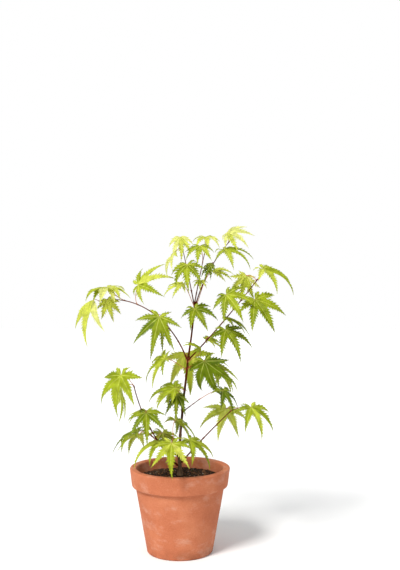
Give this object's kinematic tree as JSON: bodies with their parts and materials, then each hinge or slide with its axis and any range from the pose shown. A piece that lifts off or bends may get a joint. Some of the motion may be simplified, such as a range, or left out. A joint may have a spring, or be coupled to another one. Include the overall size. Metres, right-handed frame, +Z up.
{
  "type": "potted japanese maple",
  "caption": "Young Japanese maple with a forked red stem and hanging palmate leaves, standing in a plain round clay pot.",
  "frame": {"origin": "middle of the pot's flat underside", "axes": "+Z up along the pot, +X to the right and +Y to the back, as the plant is seen from its front"},
  "size_m": [0.3304, 0.2335, 0.4833],
  "materials": {
    "fired_clay": "matt unglazed terracotta",
    "potting_mix": "damp and crumbly",
    "bark": "thin smooth bark with fine ridges and node rings",
    "red_twig": "smooth young bark",
    "foliage": "thin satin leaf"
  },
  "bodies": {
    "root": {"pot": "fired_clay", "soil": "potting_mix", "trunk": "bark", "bough_left": "red_twig", "bough_right": "red_twig", "bough_top_left": "red_twig", "bough_top_middle": "red_twig", "bough_top_right": "red_twig", "bough_low_left": "red_twig", "bough_low_right": "red_twig", "bough_spur": "red_twig", "bough_back": "red_twig", "bough_low_front": "red_twig", "bough_low_back": "red_twig", "spray_left": "foliage", "spray_right": "foliage", "spray_top_left": "foliage", "spray_top_middle": "foliage", "spray_top_right": "foliage", "spray_low_left": "foliage", "spray_low_right": "foliage", "spray_spur": "foliage", "spray_back": "foliage", "spray_low_front": "foliage", "spray_low_back": "foliage", "leaf_collar_left": "foliage", "leaf_collar_right": "foliage", "leaf_collar_front": "foliage", "leaf_fork_front": "foliage", "leaf_fork_right": "foliage", "leaf_fork_small": "foliage", "leaf_fork_back": "foliage", "leaf_side_left": "foliage", "leaf_middle_left": "foliage", "leaf_middle_front": "foliage"}
  },
  "joints": []
}
